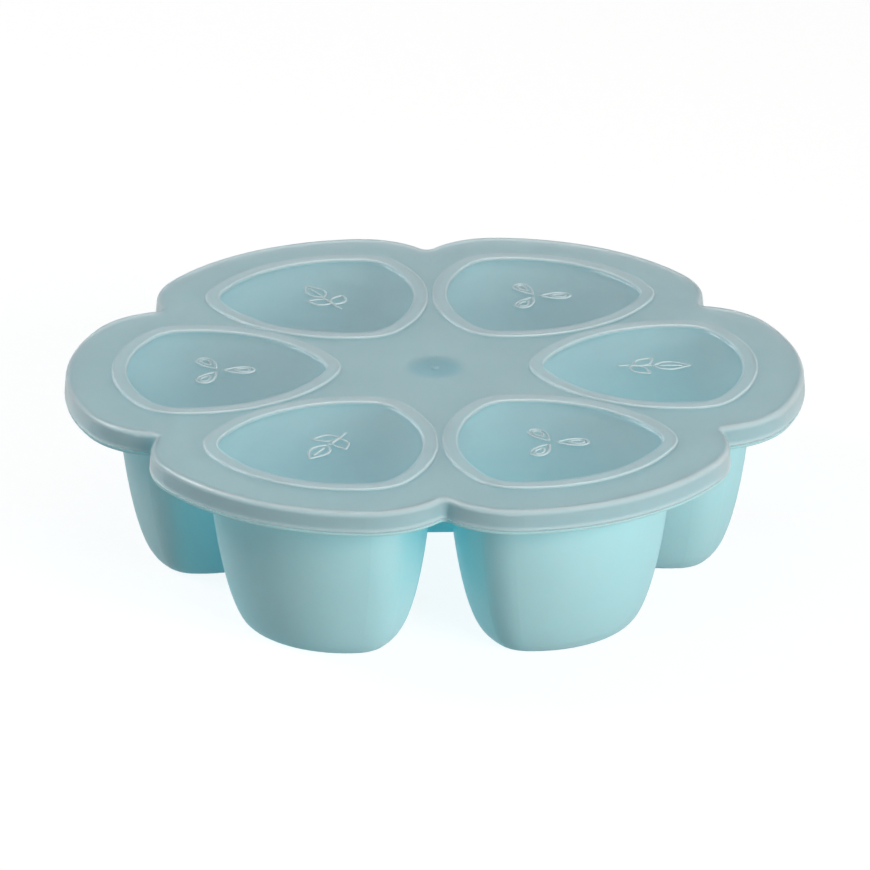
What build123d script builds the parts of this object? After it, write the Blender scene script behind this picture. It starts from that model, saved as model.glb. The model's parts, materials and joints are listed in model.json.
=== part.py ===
"""Freezer tray with six portion cups in a flower layout and a lift-off skirted lid.

Millimetres, +Z up. The origin is on the floor at the middle of the tray, and one cup lies along +X.
The tray is a single silicone moulding and the lid is a single polypropylene moulding.
"""

from build123d import *
import math
import os

# Driving dimensions
cup_count = 6
overall_reach = 125.0  # from the middle to the tip of a petal, at the foot of the lid's skirt
plate_top = 64.8  # height of the lid's flat top above the floor

# Petal outline, shared by the lid and the rim of the tray
tip_centre = 42.9  # distance from the middle to the centre of the tip arc
tip_half_angle = 27.3  # the tip arc runs this far to each side of the petal's axis
shoulder_radius = 30.4  # arc from the tip arc to the notch between two petals
notch_round = 1.6  # radius in the corner of the notch, on the outermost outline
draft = 5.0  # degrees, on the skirt and on the rim under it

# Three-cornered pod, the outline of a cup and of the band above it on the lid
pod_distance = 73.1  # from the middle of the tray to the middle of the pod
pod_corner_reach = 41.3
pod_side_reach = 35.8
pod_corner_radius = 16.3

# Lid
lid_wall = 1.2
skirt_height = 7.0
lid_edge_round = 2.1
band_width = 4.9
band_height = 0.8
band_wall = 1.0
band_round = 0.6
panel_drop = 0.4  # how far the panel inside a band lies below the flat top
dimple_radius = 10.0
dimple_depth = 0.4
gate_radius = 1.3
gate_height = 0.7
gate_round = 0.5

# Tray
lid_gap = 0.3  # clearance between the lid and the tray
deck_thickness = 2.0
rim_wall = 2.0
rim_edge_round = 1.2
lip_thickness = 1.1
lip_inset = 0.3  # how far the lip stays inside the foot of the lid's skirt
lip_round = 0.4
bead_inset = 1.4  # from the pod's outline to the outer wall of the bead round each mouth
bead_height = 0.7
bead_round = 0.4
cup_wall = 2.2
cup_floor = 2.2
cup_base_round = 3.0
cup_root_round = 1.4  # where the cup leaves the underside of the deck
cup_base_scale = 0.559  # size of the flat base against the pod
cup_mouth_scale = 0.971  # size of the cup under the deck against the pod
cup_draft_scale = 0.091  # loss of size from mouth to base through the draft
cup_roundness = 2.35  # exponent of the curve from the wall to the base
cup_turn = 78.0  # degrees of that curve used, so that the base meets it in a soft edge
cup_sections = 10
section_spread = 1.3  # above 1 the sections lie closer together near the mouth
rib_thickness = 2.4
rib_foot = 33.0  # height of the straight lower edge of the rib between two cups
rib_distance = 63.3  # where two neighbouring cups come closest
rib_length = 14.0

# Worked out from the above
pitch = 360 / cup_count
skirt_foot = plate_top - skirt_height
plate_under = plate_top - lid_wall
deck_top = plate_under - lid_gap
deck_under = deck_top - deck_thickness
lip_top = skirt_foot - lid_gap
lip_foot = lip_top - lip_thickness
cup_curve_power = 2 / cup_roundness
rim_inset = lid_wall + lid_gap
dimple_sphere = (dimple_radius**2 + dimple_depth**2) / (2 * dimple_depth)


def polar(radius, angle):
    """Point at a distance and an angle from the origin."""
    turn = math.radians(angle)
    return (radius * math.cos(turn), radius * math.sin(turn))


def flower(inset):
    """Outline of the six petals, moved inwards by inset."""
    tip_radius = overall_reach - tip_centre - inset
    side_radius = shoulder_radius - inset
    shift = overall_reach - tip_centre - shoulder_radius
    shoulder_x = tip_centre + shift * math.cos(math.radians(tip_half_angle))
    shoulder_y = shift * math.sin(math.radians(tip_half_angle))
    distance = math.hypot(shoulder_x, shoulder_y)
    bearing = math.degrees(math.atan2(shoulder_y, shoulder_x))
    # The shoulder arc ends on the ray halfway to the next petal.
    off_ray = distance * math.sin(math.radians(pitch / 2 - bearing))
    sweep = pitch / 2 + math.degrees(math.asin(off_ray / side_radius)) - tip_half_angle
    with BuildSketch() as outline:
        with BuildLine():
            for petal in range(cup_count):
                axis = petal * pitch
                CenterArc(polar(tip_centre, axis), tip_radius, axis - tip_half_angle, 2 * tip_half_angle)
                CenterArc(polar(distance, axis + bearing), side_radius, axis + tip_half_angle, sweep)
                CenterArc(polar(distance, axis - bearing), side_radius, axis - tip_half_angle - sweep, sweep)
        make_face()
        notches = outline.vertices().sort_by_distance((0, 0, 0))[:cup_count]
        fillet(notches, radius=notch_round + inset)
    return outline.sketch


def pod(scale=1.0, inset=0.0):
    """Outline of one pod on the +X axis, scaled about its middle and moved inwards by inset."""
    corner_offset = pod_corner_reach - pod_corner_radius
    slack = pod_side_reach - pod_corner_radius
    side_offset = (corner_offset**2 - slack**2) / (2 * slack - corner_offset)
    side_radius = pod_side_reach + side_offset
    corner_x, corner_y = polar(corner_offset, 60)
    half_side = math.degrees(math.atan2(corner_y, corner_x + side_offset))
    half_corner = 60 - half_side
    with BuildSketch() as outline:
        with BuildLine():
            for side in (0, 120, 240):
                corner = side + 60
                side_x, side_y = polar(scale * side_offset, side + 180)
                bow_radius = scale * side_radius - inset
                CenterArc((pod_distance + side_x, side_y), bow_radius, side - half_side, 2 * half_side)
                turn_x, turn_y = polar(scale * corner_offset, corner)
                turn_radius = scale * pod_corner_radius - inset
                CenterArc((pod_distance + turn_x, turn_y), turn_radius, corner - half_corner, 2 * half_corner)
        make_face()
    return outline.sketch


def cup_section(step):
    """Share of the depth and size against the pod of one section, from the mouth down to the base."""
    angle = math.radians(cup_turn * (step / cup_sections) ** section_spread)
    depth_share = (math.sin(angle) / math.sin(math.radians(cup_turn))) ** cup_curve_power
    side_share = math.cos(angle) ** cup_curve_power
    scale = cup_base_scale + (cup_mouth_scale - cup_base_scale - cup_draft_scale * depth_share) * side_share
    return depth_share, scale


def cup_body(top, base, inset):
    """Solid of one cup between two heights, moved inwards by inset."""
    with BuildPart() as body:
        for step in range(cup_sections + 1):
            depth_share, scale = cup_section(step)
            with BuildSketch(Plane.XY.offset(top - (top - base) * depth_share)):
                add(pod(scale, inset))
        loft()
        fillet(body.faces().sort_by(Axis.Z)[0].edges(), radius=cup_base_round)
    return body.part


os.makedirs("parts", exist_ok=True)

cup_solid = cup_body(deck_under + deck_thickness / 2, 0, 0)
cup_hollow = cup_body(deck_top, cup_floor, cup_wall)

# Tray: deck, skirted rim with a lip, six cups and the ribs between them, moulded in one
with BuildPart() as tray:
    with BuildSketch(Plane.XY.offset(lip_foot)):
        add(flower(rim_inset))
    extrude(amount=deck_top - lip_foot, taper=draft)
    fillet(tray.faces().sort_by(Axis.Z)[-1].edges(), radius=rim_edge_round)
    with BuildSketch(Plane.XY.offset(lip_foot)):
        add(flower(rim_inset + rim_wall))
    extrude(amount=deck_under - lip_foot, taper=draft, mode=Mode.SUBTRACT)
    with BuildSketch(Plane.XY.offset(lip_foot)):
        add(flower(lip_inset))
        add(flower(rim_inset + rim_wall / 2), mode=Mode.SUBTRACT)
    extrude(amount=lip_thickness)
    lip_faces = tray.faces().filter_by(Axis.Z).sort_by(Axis.Z)[:2]
    fillet([edge for face in lip_faces for edge in face.outer_wire().edges()], radius=lip_round)
    with BuildSketch(Plane.XY.offset(deck_top)):
        with PolarLocations(0, cup_count):
            add(pod(inset=bead_inset))
    extrude(amount=bead_height)
    with PolarLocations(0, cup_count):
        add(cup_solid)
    deck_underside = tray.faces().filter_by_position(Axis.Z, deck_under - 0.1, deck_under + 0.1)[0]
    fillet([edge for wire in deck_underside.inner_wires() for edge in wire.edges()], radius=cup_root_round)
    with BuildSketch(Plane.XY.offset(rib_foot)):
        with PolarLocations(rib_distance, cup_count, start_angle=pitch / 2):
            Rectangle(rib_thickness, rib_length)
    extrude(amount=deck_under - rib_foot)
    with PolarLocations(0, cup_count):
        add(cup_hollow, mode=Mode.SUBTRACT)
    with BuildSketch(Plane.XY.offset(deck_top)):
        with PolarLocations(0, cup_count):
            add(pod(cup_mouth_scale, cup_wall))
    extrude(amount=bead_height, mode=Mode.SUBTRACT)
    fillet(tray.faces().sort_by(Axis.Z)[-cup_count:].edges(), radius=bead_round)
tray.part.label = "tray"
export_step(tray.part, "parts/tray.step")

# Lid: flat top with a raised band and a sunk panel over each cup, and a skirt round the rim
with BuildPart() as lid:
    with BuildSketch(Plane.XY.offset(skirt_foot)):
        add(flower(0))
    extrude(amount=skirt_height, taper=draft)
    fillet(lid.faces().sort_by(Axis.Z)[-1].edges(), radius=lid_edge_round)
    with BuildSketch(Plane.XY.offset(skirt_foot)):
        add(flower(lid_wall))
    extrude(amount=skirt_height - lid_wall, taper=draft, mode=Mode.SUBTRACT)
    with BuildSketch(Plane.XY.offset(plate_under - panel_drop)):
        with PolarLocations(0, cup_count):
            add(pod(inset=band_width - band_wall))
    extrude(amount=lid_wall)
    with BuildSketch(Plane.XY.offset(plate_top)):
        with PolarLocations(0, cup_count):
            add(pod())
    extrude(amount=band_height)
    with BuildSketch(Plane.XY.offset(plate_top - panel_drop)):
        with PolarLocations(0, cup_count):
            add(pod(inset=band_width))
    extrude(amount=band_height + panel_drop, mode=Mode.SUBTRACT)
    fillet(lid.faces().sort_by(Axis.Z)[-cup_count:].edges(), radius=band_round)
    with BuildSketch(Plane.XY.offset(plate_under)):
        with PolarLocations(0, cup_count):
            add(pod(inset=band_wall))
            add(pod(inset=band_width - band_wall), mode=Mode.SUBTRACT)
    extrude(amount=band_height, mode=Mode.SUBTRACT)
    with Locations((0, 0, plate_top - dimple_depth + dimple_sphere)):
        Sphere(dimple_sphere, mode=Mode.SUBTRACT)
    with BuildSketch(Plane.XY.offset(plate_under)):
        Circle(gate_radius)
    extrude(amount=lid_wall - dimple_depth + gate_height)
    circles = lid.edges().filter_by(GeomType.CIRCLE)
    fillet(circles.sort_by_distance((0, 0, plate_top + 1))[0], radius=gate_round)
lid.part.label = "lid"
export_step(lid.part, "parts/lid.step")
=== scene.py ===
import json
import math

import bmesh
import bpy
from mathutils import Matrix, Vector


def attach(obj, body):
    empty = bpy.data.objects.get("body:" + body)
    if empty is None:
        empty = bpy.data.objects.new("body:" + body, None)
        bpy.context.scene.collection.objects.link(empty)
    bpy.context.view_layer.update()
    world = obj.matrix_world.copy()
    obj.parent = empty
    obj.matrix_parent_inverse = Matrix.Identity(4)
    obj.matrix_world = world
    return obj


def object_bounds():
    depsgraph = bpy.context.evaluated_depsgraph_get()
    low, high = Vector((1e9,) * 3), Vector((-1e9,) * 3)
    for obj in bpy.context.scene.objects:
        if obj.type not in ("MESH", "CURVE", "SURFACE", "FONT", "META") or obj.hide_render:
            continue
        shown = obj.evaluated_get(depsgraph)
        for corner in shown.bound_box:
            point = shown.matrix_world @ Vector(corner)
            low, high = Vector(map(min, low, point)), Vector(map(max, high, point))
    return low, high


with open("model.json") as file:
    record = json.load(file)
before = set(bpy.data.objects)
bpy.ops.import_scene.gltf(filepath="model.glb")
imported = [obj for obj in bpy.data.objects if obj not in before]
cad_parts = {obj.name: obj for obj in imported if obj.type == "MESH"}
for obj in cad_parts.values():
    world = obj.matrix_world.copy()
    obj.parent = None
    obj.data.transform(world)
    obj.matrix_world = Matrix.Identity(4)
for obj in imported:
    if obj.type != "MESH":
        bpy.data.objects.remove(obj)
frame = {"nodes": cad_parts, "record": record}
cadBox = [list(map(float, corner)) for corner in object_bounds()]
scene = bpy.context.scene
mm = 0.001
mounts = {mount["name"]: mount["pos_m"] for mount in frame["record"]["mounts"]}
cupDistance = mounts["cup_base"][0]  # from the tray's middle to the middle of a cup
bandTop = mounts["stacking_band"][2]
plateTop = bandTop - 0.8 * mm  # the lid's flat top, under its raised bands
print("frame loaded:", ", ".join(sorted(frame["nodes"])))


# small helpers for the node trees; at is a node's place in the editor

def newTree(name):
    material = bpy.data.materials.new(name)
    material.use_nodes = True
    material.node_tree.nodes.clear()
    return material, material.node_tree


def node(tree, kind, at=(0, 0)):
    made = tree.nodes.new(kind)
    made.location = at
    return made


def noiseField(tree, coords, scale, detail, roughness, at):
    made = node(tree, "ShaderNodeTexNoise", at)
    made.inputs["Scale"].default_value = scale
    made.inputs["Detail"].default_value = detail
    made.inputs["Roughness"].default_value = roughness
    tree.links.new(coords, made.inputs["Vector"])
    return made.outputs["Fac"]


def remap(tree, source, fromRange, toRange, at, smooth=False):
    made = node(tree, "ShaderNodeMapRange", at)
    made.interpolation_type = "SMOOTHSTEP" if smooth else "LINEAR"
    made.inputs["From Min"].default_value = fromRange[0]
    made.inputs["From Max"].default_value = fromRange[1]
    made.inputs["To Min"].default_value = toRange[0]
    made.inputs["To Max"].default_value = toRange[1]
    tree.links.new(source, made.inputs["Value"])
    return made.outputs["Result"]


def compute(tree, operation, sources, at):
    made = node(tree, "ShaderNodeMath", at)
    made.operation = operation
    for source, socket in zip(sources, made.inputs):
        tree.links.new(source, socket)
    return made.outputs[0]


def blendColours(tree, share, first, second, at):
    made = node(tree, "ShaderNodeMix", at)
    made.data_type = "RGBA"
    for socket, value in ((made.inputs[6], first), (made.inputs[7], second)):
        if isinstance(value, bpy.types.NodeSocket):
            tree.links.new(value, socket)
        else:
            socket.default_value = (*value, 1.0)
    tree.links.new(share, made.inputs[0])
    return made.outputs[2]


def bumpFrom(tree, height, strength, distance, at, normal=None):
    made = node(tree, "ShaderNodeBump", at)
    made.inputs["Strength"].default_value = strength
    made.inputs["Distance"].default_value = distance
    tree.links.new(height, made.inputs["Height"])
    if normal:
        tree.links.new(normal, made.inputs["Normal"])
    return made.outputs["Normal"]


def mixShaders(tree, first, second, at):
    # the caller sets or links the share of the second shader
    made = node(tree, "ShaderNodeMixShader", at)
    tree.links.new(first, made.inputs[1])
    tree.links.new(second, made.inputs[2])
    return made.inputs[0], made.outputs[0]


def closeTree(tree, surface, at):
    end = node(tree, "ShaderNodeOutputMaterial", at)
    tree.links.new(surface, end.inputs["Surface"])


# silicone of the tray: satin, lets some light through its walls, with a fine moulded grain

silicone = {
    "body": (0.465, 0.64, 0.65),
    "cloud": (0.445, 0.62, 0.63),
    "cloudSize": 28,
    "cloudSpan": (0.35, 0.65),  # noise levels between which the colour turns
    "roughness": (0.36, 0.44),
    "roughSpan": (0.3, 0.7),
    "gloss": 1.0,
    "ior": 1.41,
    "grainSize": 2600,
    "grainDepth": 0.012 * mm,
    "grainStrength": 0.6,
    "rippleSize": 60,
    "rippleDepth": 0.15 * mm,
    "rippleStrength": 0.25,
    "scatter": 0.3,
    "scatterDepth": 3.0 * mm,
    "scatterReach": (0.2, 1.0, 1.15),  # red, green and blue, as shares of that depth
    "glow": (0.13, 0.63, 0.69),  # light that comes through a wall from the other side
    "glowShare": 0.28,
    "wallTint": (0.25, 0.74, 0.78),  # what one skin of a wall lets through of the lamps
}


def makeSilicone():
    material, tree = newTree("traySilicone")
    coords = node(tree, "ShaderNodeTexCoord", (-1100, 0)).outputs["Object"]
    cloud = noiseField(tree, coords, silicone["cloudSize"], detail=3, roughness=0.5, at=(-900, 200))
    grain = noiseField(tree, coords, silicone["grainSize"], detail=2, roughness=0.5,
                       at=(-900, -200))
    ripple = noiseField(tree, coords, silicone["rippleSize"], detail=2, roughness=0.4,
                        at=(-900, -450))
    turn = remap(tree, cloud, silicone["cloudSpan"], (0, 1), at=(-700, 200))
    colour = blendColours(tree, turn, silicone["body"], silicone["cloud"], at=(-500, 200))
    rough = remap(tree, cloud, silicone["roughSpan"], silicone["roughness"], at=(-500, 0))
    soft = bumpFrom(tree, ripple, silicone["rippleStrength"], silicone["rippleDepth"],
                    at=(-500, -450))
    normal = bumpFrom(tree, grain, silicone["grainStrength"], silicone["grainDepth"],
                      at=(-300, -250), normal=soft)

    shader = node(tree, "ShaderNodeBsdfPrincipled", (-50, 0))
    shader.inputs["Subsurface Weight"].default_value = silicone["scatter"]
    shader.inputs["Subsurface Radius"].default_value = silicone["scatterReach"]
    shader.inputs["Subsurface Scale"].default_value = silicone["scatterDepth"]
    shader.inputs["IOR"].default_value = silicone["ior"]
    shader.inputs["Specular IOR Level"].default_value = silicone["gloss"]
    tree.links.new(colour, shader.inputs["Base Color"])
    tree.links.new(rough, shader.inputs["Roughness"])
    tree.links.new(normal, shader.inputs["Normal"])

    glow = node(tree, "ShaderNodeBsdfTranslucent", (-50, -500))
    glow.inputs["Color"].default_value = (*silicone["glow"], 1)
    tree.links.new(normal, glow.inputs["Normal"])
    share, body = mixShaders(tree, shader.outputs["BSDF"], glow.outputs["BSDF"], at=(250, 0))
    share.default_value = silicone["glowShare"]

    # lamp light goes straight through a wall and takes its tint
    clear = node(tree, "ShaderNodeBsdfTransparent", (250, -300))
    clear.inputs["Color"].default_value = (*silicone["wallTint"], 1)
    ray = node(tree, "ShaderNodeLightPath", (250, 400))
    lit, surface = mixShaders(tree, body, clear.outputs["BSDF"], at=(450, 0))
    tree.links.new(ray.outputs["Is Shadow Ray"], lit)
    closeTree(tree, surface, at=(650, 0))
    return material


# frosted polypropylene of the lid: milky, blurs what lies under it

frosted = {
    "body": (0.84, 0.915, 0.93),
    "cloud": (0.80, 0.89, 0.91),
    "cloudSpan": (0.35, 0.65),
    "gateShade": (0.57, 0.79, 0.85),  # darker teal painted round the thin spot at the middle: painted shade
    "gateReach": (6.0 * mm, 12.0 * mm),
    "seeThrough": 0.96,
    "reliefSeeThrough": 0.72,
    "bandSeeThrough": 0.82,  # the raised bands are milkier
    "gateSeeThrough": 0.985,
    "edgeMilk": 0.24,  # rounded edges and the skirt let less through than the flat top
    "wallClear": 0.14,  # given back on the skirt between its rounded edge and its foot
    "footMilk": 0.14,
    "edgeLean": (0.84, 0.995),  # 1 is level, 0 is upright
    "wallLean": (0.12, 0.45),
    "bandLevel": (plateTop + 0.05 * mm, bandTop - 0.1 * mm),
    "footLevel": (plateTop - 6.5 * mm, plateTop - 5.5 * mm),
    "edgeSoft": 1.0 * mm,
    "edgeSamples": 6,
    "ior": 1.38,
    "roughness": (0.29, 0.36),
    "roughSpan": (0.3, 0.7),
    "hazeSize": 45,
    "grainSize": 1800,
    "grainDepth": 0.02 * mm,
    "grainStrength": 0.5,
    "lampTint": (0.86, 0.92, 0.935),  # what one skin of the lid lets through to light the tray
    "skirtTint": (0.60, 0.68, 0.70),
}


def distanceFromMiddle(tree, place):
    flat = node(tree, "ShaderNodeCombineXYZ", (-850, 600))
    tree.links.new(place.outputs["X"], flat.inputs["X"])
    tree.links.new(place.outputs["Y"], flat.inputs["Y"])
    reach = node(tree, "ShaderNodeVectorMath", (-700, 600))
    reach.operation = "LENGTH"
    tree.links.new(flat.outputs[0], reach.inputs[0])
    return reach.outputs["Value"]


def levelness(tree):
    # how level the surface lies, whichever way up
    geometry = node(tree, "ShaderNodeNewGeometry", (-1200, 1000))
    facing = node(tree, "ShaderNodeSeparateXYZ", (-1000, 1000))
    tree.links.new(geometry.outputs["Normal"], facing.inputs[0])
    return compute(tree, "ABSOLUTE", [facing.outputs["Z"]], at=(-800, 1000))


def lidClarity(tree, height, reach, level, seeThrough):
    # share of light that comes through, changed at the bands, the gate, the edge and the skirt
    through = remap(tree, height, frosted["bandLevel"],
                    (seeThrough, frosted["bandSeeThrough"]), at=(-750, 800), smooth=True)
    changes = (
        (reach, frosted["gateReach"], (frosted["gateSeeThrough"] - seeThrough, 0.0)),
        (level, frosted["edgeLean"], (-frosted["edgeMilk"], 0.0)),
        (level, frosted["wallLean"], (frosted["wallClear"], 0.0)),
        (height, frosted["footLevel"], (-frosted["footMilk"], 0.0)),
    )
    for row, (source, span, change) in enumerate(changes):
        y = 1000 + 200 * row
        shift = remap(tree, source, span, change, at=(-600, y), smooth=True)
        through = compute(tree, "ADD", [through, shift], at=(-300, y))
    return through


def makeFrosted(name, seeThrough):
    material, tree = newTree(name)
    coords = node(tree, "ShaderNodeTexCoord", (-1300, 0)).outputs["Object"]
    place = node(tree, "ShaderNodeSeparateXYZ", (-1000, 700))
    tree.links.new(coords, place.inputs[0])
    reach = distanceFromMiddle(tree, place)
    level = levelness(tree)
    through = lidClarity(tree, place.outputs["Z"], reach, level, seeThrough)

    haze = noiseField(tree, coords, frosted["hazeSize"], detail=4, roughness=0.55, at=(-1000, 300))
    grain = noiseField(tree, coords, frosted["grainSize"], detail=2, roughness=0.5,
                       at=(-1000, -300))
    turn = remap(tree, haze, frosted["cloudSpan"], (0, 1), at=(-800, 300))
    cloudy = blendColours(tree, turn, frosted["body"], frosted["cloud"], at=(-550, 300))
    # painted shade: the lid's colour turns darker teal towards the middle
    nearGateShade = remap(tree, reach, frosted["gateReach"], (1, 0), at=(-500, 450), smooth=True)
    colour = blendColours(tree, nearGateShade, cloudy, frosted["gateShade"], at=(-300, 400))
    rough = remap(tree, haze, frosted["roughSpan"], frosted["roughness"], at=(-550, 0))
    soft = node(tree, "ShaderNodeBevel", (-800, -500))
    soft.samples = frosted["edgeSamples"]
    soft.inputs["Radius"].default_value = frosted["edgeSoft"]
    normal = bumpFrom(tree, grain, frosted["grainStrength"], frosted["grainDepth"],
                      at=(-550, -300), normal=soft.outputs["Normal"])

    shader = node(tree, "ShaderNodeBsdfPrincipled", (-150, 0))
    shader.inputs["IOR"].default_value = frosted["ior"]
    tree.links.new(through, shader.inputs["Transmission Weight"])
    tree.links.new(colour, shader.inputs["Base Color"])
    tree.links.new(rough, shader.inputs["Roughness"])
    tree.links.new(normal, shader.inputs["Normal"])

    # lamp light and light bounced from the tray go straight through the thin skin
    leaning = remap(tree, level, frosted["edgeLean"], (1.0, 0.0), at=(-600, -800), smooth=True)
    tint = blendColours(tree, leaning, frosted["lampTint"], frosted["skirtTint"], at=(-400, -800))
    clear = node(tree, "ShaderNodeBsdfTransparent", (-150, -450))
    tree.links.new(tint, clear.inputs["Color"])
    ray = node(tree, "ShaderNodeLightPath", (-400, -600))
    straight = compute(tree, "MAXIMUM",
                       [ray.outputs["Is Shadow Ray"], ray.outputs["Is Diffuse Ray"]],
                       at=(-150, -600))
    lit, surface = mixShaders(tree, shader.outputs["BSDF"], clear.outputs["BSDF"], at=(100, 0))
    tree.links.new(straight, lit)
    closeTree(tree, surface, at=(300, 0))
    return material


traySilicone = makeSilicone()
lidFrosted = makeFrosted("frostedLid", frosted["seeThrough"])
reliefFrosted = makeFrosted("frostedRelief", frosted["reliefSeeThrough"])


def dress(cadObject, material):
    cadObject.data.materials.clear()
    cadObject.data.materials.append(material)


dress(frame["nodes"]["tray"], traySilicone)
dress(frame["nodes"]["lid"], lidFrosted)
print("tray and lid dressed")


# moulded relief on the six panels: leaf sprigs and rings of drops, turn about
# each one is drawn at the origin and then turned out to its cup

relief = {
    "cups": 6,
    "panelTop": plateTop - 0.4 * mm,
    "ridgeWidth": 1.0 * mm,
    "ridgeHeight": 0.35 * mm,
    "sink": 0.06 * mm,
    # across and up, as shares of the ridge's width and height
    "ridgeProfile": ((-0.5, 0.0), (-0.38, 0.55), (-0.16, 0.95),
                     (0.16, 0.95), (0.38, 0.55), (0.5, 0.0)),
    "endShare": 0.35,  # width and height left at the end of an open line
}

sprig = {
    "leafLength": 12.5 * mm,
    "leafWidth": 6.4 * mm,
    "leafSteps": 28,
    "leafBelly": 0.8,  # below 1 it is widest nearer its foot
    "leafTaper": 1.1,
    "stemFoot": -0.95,  # this and the next two as shares of the leaf's length
    "stemHead": 0.05,
    "veinSpan": (0.12, 0.82),
    "stemBow": 0.04,
    "stemSteps": 12,
    "veinSteps": 8,
    "sideJoints": ((1, 0.52), (-1, 0.40)),  # side of the stem, share of the way up it
    "sideTurn": 0.85,
    "sideLength": 0.72,
    "sideWidth": 0.8,
}

drops = {
    "count": 3,
    "start": 180,  # degrees
    "tipDistance": 1.7 * mm,
    "length": 10.4 * mm,
    "width": 0.34,  # share of the length
    "steps": 36,
    "innerStart": 0.36,
    "innerLength": 0.5,
}


def pointFrom(start, angle, along, out=0.0):
    return start + Vector((along * math.cos(angle) - out * math.sin(angle),
                           along * math.sin(angle) + out * math.cos(angle)))


def leafOutline(start, angle, length, width):
    points = []
    steps = sprig["leafSteps"]
    for side in (1, -1):
        shares = range(steps + 1) if side == 1 else range(steps - 1, 0, -1)
        for step in shares:
            t = step / steps
            swell = math.sin(math.pi * t ** sprig["leafBelly"]) ** sprig["leafTaper"]
            points.append(pointFrom(start, angle, length * t, side * width / 2 * swell))
    return points


def dropOutline(tip, angle, length):
    points = []
    for step in range(drops["steps"]):
        t = 2 * math.pi * step / drops["steps"]
        along = length * (0.5 - 0.5 * math.cos(t))
        out = length * drops["width"] * math.sin(t) * math.sin(t / 2)
        points.append(pointFrom(tip, angle, along, out))
    return points


def line(start, end, steps, bow=0.0):
    points = []
    for step in range(steps + 1):
        t = step / steps
        across = Vector((-(end - start).y, (end - start).x))
        points.append(start.lerp(end, t) + across * bow * math.sin(math.pi * t))
    return points


def addRidge(shape, points, closed):
    # low rounded ridge along a line drawn on the panel
    width, height = relief["ridgeWidth"], relief["ridgeHeight"] + relief["sink"]
    profile = relief["ridgeProfile"]
    count = len(points)
    rings = []
    for index, point in enumerate(points):
        before = points[index - 1] if closed or index else point
        after = points[(index + 1) % count] if closed or index < count - 1 else point
        heading = (after - before).normalized()
        across = Vector((-heading.y, heading.x))
        atEnd = not closed and index in (0, count - 1)
        scale = relief["endShare"] if atEnd else 1.0
        rings.append([shape.verts.new((*(point + across * u * width * scale), v * height * scale))
                      for u, v in profile])
    for index in range(count if closed else count - 1):
        first, second = rings[index], rings[(index + 1) % count]
        for k in range(len(profile)):
            n = (k + 1) % len(profile)
            shape.faces.new((first[k], first[n], second[n], second[k]))
    if not closed:
        shape.faces.new(rings[0][::-1])
        shape.faces.new(rings[-1])


def drawSprig(shape):
    length, width = sprig["leafLength"], sprig["leafWidth"]
    foot = Vector((length * sprig["stemFoot"], 0))
    head = Vector((length * sprig["stemHead"], 0))
    veinStart, veinEnd = (head + Vector((length * share, 0)) for share in sprig["veinSpan"])
    addRidge(shape, line(foot, head, sprig["stemSteps"], sprig["stemBow"]), closed=False)
    addRidge(shape, leafOutline(head, 0.0, length, width), closed=True)
    addRidge(shape, line(veinStart, veinEnd, sprig["veinSteps"]), closed=False)
    for side, share in sprig["sideJoints"]:
        leaf = leafOutline(foot.lerp(head, share), side * sprig["sideTurn"],
                           length * sprig["sideLength"], width * sprig["sideWidth"])
        addRidge(shape, leaf, closed=True)


def drawDrops(shape):
    middle = Vector((0, 0))
    length = drops["length"]
    for turn in range(drops["count"]):
        angle = math.radians(360 / drops["count"] * turn + drops["start"])
        tip = pointFrom(middle, angle, drops["tipDistance"])
        innerTip = pointFrom(tip, angle, length * drops["innerStart"])
        addRidge(shape, dropOutline(tip, angle, length), closed=True)
        addRidge(shape, dropOutline(innerTip, angle, length * drops["innerLength"]), closed=True)


motifs = (("panel_sprig_", drawSprig), ("panel_drops_", drawDrops))


def makeRelief(index):
    name, draw = motifs[index % len(motifs)]
    shape = bmesh.new()
    draw(shape)
    angle = 2 * math.pi * index / relief["cups"]
    for vert in shape.verts:
        x, y, z = vert.co
        x += cupDistance
        vert.co = (x * math.cos(angle) - y * math.sin(angle),
                   x * math.sin(angle) + y * math.cos(angle),
                   z + relief["panelTop"] - relief["sink"])
    bmesh.ops.recalc_face_normals(shape, faces=shape.faces)
    mesh = bpy.data.meshes.new(name + str(index + 1))
    shape.to_mesh(mesh)
    shape.free()
    mesh.polygons.foreach_set("use_smooth", [True] * len(mesh.polygons))
    piece = bpy.data.objects.new(mesh.name, mesh)
    scene.collection.objects.link(piece)
    piece.data.materials.append(reliefFrosted)
    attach(piece, "lid")


for cup in range(relief["cups"]):
    makeRelief(cup)
print("relief raised on", relief["cups"], "panels")


# pale round floor that bends up into a backdrop far behind

studio = {
    "floorColour": (0.16, 0.16, 0.158),
    "seenColour": (0.17, 0.17, 0.17),
    "glow": 0.87,
    "roughness": 0.9,
    "gloss": 0.1,
    "fibreSize": 240,
    "fibreSpan": (0.3, 0.7),
    "fibreShade": (0.985, 1.0),
    "innerRings": (0.001, 0.3, 0.8),
    "floorReach": 3.2,
    "wallHeight": 2.4,
    "bendRadius": 0.9,
    "bendSteps": 12,
    "sectors": 96,
    "gapUnderTray": 0.2 * mm,
    "airColour": (0.96, 0.98, 1.0),
    "airStrength": 0.075,
}


def mattPaper(tree, colour, at):
    made = node(tree, "ShaderNodeBsdfPrincipled", at)
    made.inputs["Base Color"].default_value = (*colour, 1)
    made.inputs["Roughness"].default_value = studio["roughness"]
    made.inputs["Specular IOR Level"].default_value = studio["gloss"]
    return made.outputs["BSDF"]


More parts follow.
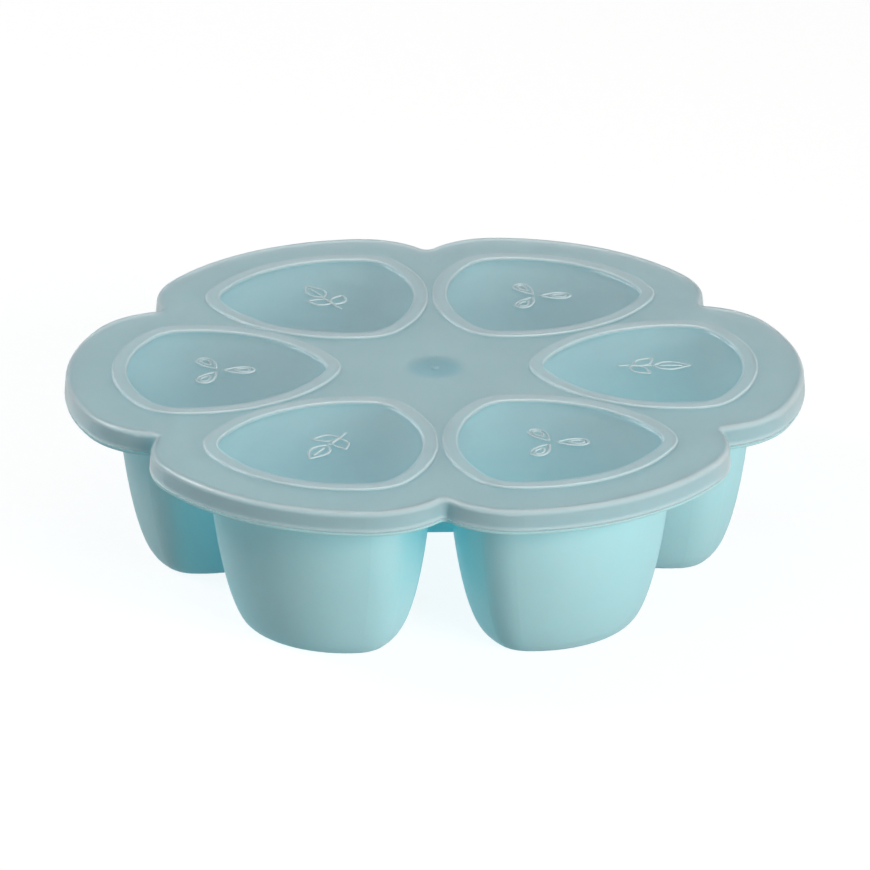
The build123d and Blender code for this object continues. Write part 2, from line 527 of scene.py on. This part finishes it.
def makePaper():
    material, tree = newTree("studioPaper")
    coords = node(tree, "ShaderNodeTexCoord", (-900, 0)).outputs["Object"]
    fibre = noiseField(tree, coords, studio["fibreSize"], detail=3, roughness=0.5, at=(-700, 0))
    shade = remap(tree, fibre, studio["fibreSpan"], studio["fibreShade"], at=(-500, 0))

    # seen directly, mirrored or through the lid, the paper has some glow of its own,
    # so the shadow on it stays light
    glow = node(tree, "ShaderNodeEmission", (-100, -300))
    glow.inputs["Strength"].default_value = studio["glow"]
    tree.links.new(shade, glow.inputs["Color"])
    both = node(tree, "ShaderNodeAddShader", (200, 0))
    tree.links.new(mattPaper(tree, studio["seenColour"], at=(-100, 0)), both.inputs[0])
    tree.links.new(glow.outputs[0], both.inputs[1])
    ray = node(tree, "ShaderNodeLightPath", (-300, -500))
    seen = ray.outputs["Is Camera Ray"]
    for kind in ("Is Glossy Ray", "Is Transmission Ray"):
        seen = compute(tree, "MAXIMUM", [seen, ray.outputs[kind]], at=(50, -500))
    unseen = mattPaper(tree, studio["floorColour"], at=(-100, 500))
    share, surface = mixShaders(tree, unseen, both.outputs[0], at=(400, 0))
    tree.links.new(seen, share)
    closeTree(tree, surface, at=(600, 0))
    return material


def floorProfile():
    # radius and level of each ring, from the middle out and up the backdrop
    reach, bend = studio["floorReach"], studio["bendRadius"]
    profile = [(radius, 0.0) for radius in (*studio["innerRings"], reach - bend)]
    for step in range(1, studio["bendSteps"] + 1):
        turn = math.pi / 2 * step / studio["bendSteps"]
        profile.append((reach - bend + bend * math.sin(turn), bend * (1 - math.cos(turn))))
    profile.append((reach, studio["wallHeight"]))
    return profile


def makeFloor():
    shape = bmesh.new()
    sectors = studio["sectors"]
    angles = [2 * math.pi * k / sectors for k in range(sectors)]
    rings = []
    for radius, level in floorProfile():
        rings.append([shape.verts.new((radius * math.cos(a), radius * math.sin(a), level))
                      for a in angles])
    for inner, outer in zip(rings, rings[1:]):
        for k in range(sectors):
            n = (k + 1) % sectors
            shape.faces.new((inner[k], outer[k], outer[n], inner[n]))
    shape.faces.new(rings[0])
    mesh = bpy.data.meshes.new("studioFloor")
    shape.to_mesh(mesh)
    shape.free()
    mesh.polygons.foreach_set("use_smooth", [True] * len(mesh.polygons))
    floor = bpy.data.objects.new("studioFloor", mesh)
    floor.location.z = cadBox[0][2] - studio["gapUnderTray"]
    scene.collection.objects.link(floor)
    floor.data.materials.append(makePaper())


makeFloor()

world = bpy.data.worlds.new("studioAir")
scene.world = world
world.use_nodes = True
air = world.node_tree.nodes["Background"]
air.inputs["Color"].default_value = (*studio["airColour"], 1)
air.inputs["Strength"].default_value = studio["airStrength"]
print("floor and air ready")


# lamps: broad main light low on the right, narrower one high on the left for the edge lines,
# weak fill low on the left and a large soft one overhead
# the two low ones cast no glare, or the lid turns plain white when seen against them

lamps = {
    "main": {"from": (1.0, -1.12, 0.52), "size": (0.8, 0.8), "watts": 31,
             "tint": (1.0, 0.955, 0.925), "glare": False},
    "edge": {"from": (-1.15, 0.28, 1.02), "size": (0.5, 0.5), "watts": 11,
             "tint": (0.98, 0.99, 1.0), "glare": True},
    "fill": {"from": (-1.25, -0.85, 0.30), "size": (0.9, 0.6), "watts": 4.6,
             "tint": (1.0, 1.0, 1.0), "glare": False},
    "top": {"from": (0.2, 0.3, 1.6), "size": (1.6, 1.6), "watts": 6.6,
            "tint": (1.0, 1.0, 1.0), "glare": True},
}
lampTarget = Vector((0, 0, 30 * mm))

for lampName, lamp in lamps.items():
    data = bpy.data.lights.new(lampName + "Lamp", "AREA")
    data.shape = "RECTANGLE"
    data.size, data.size_y = lamp["size"]
    data.energy = lamp["watts"]
    data.color = lamp["tint"]
    holder = bpy.data.objects.new(lampName + "Lamp", data)
    holder.location = lamp["from"]
    holder.rotation_euler = (lampTarget - holder.location).to_track_quat("-Z", "Y").to_euler()
    holder.visible_glossy = holder.visible_transmission = lamp["glare"]
    scene.collection.objects.link(holder)
print("lamps:", ", ".join(lamps))


# camera: long lens, three-quarter view from above along +Y, turned a little

shot = {
    "lens": 250.29,
    "sensor": 36,
    "distance": 2.0405,
    "elevation": 22.97,  # this and the next two in degrees
    "turn": 1.55,
    "dip": 0.644,  # looks this much below its target
    "target": (0, 0, plateTop),
    "nearClip": 0.05,
}

rise, swing = math.radians(shot["elevation"]), math.radians(shot["turn"])
viewer = bpy.data.cameras.new("shotCamera")
viewer.lens = shot["lens"]
viewer.sensor_width = shot["sensor"]
viewer.clip_start = shot["nearClip"]
camera = bpy.data.objects.new("shotCamera", viewer)
camera.location = Vector(shot["target"]) + shot["distance"] * Vector(
    (-math.sin(swing) * math.cos(rise), -math.cos(swing) * math.cos(rise), math.sin(rise)))
camera.rotation_euler = (math.radians(90 - shot["elevation"] - shot["dip"]), 0, -swing)
scene.collection.objects.link(camera)
scene.camera = camera

scene.view_settings.view_transform = "Standard"
print("camera set")
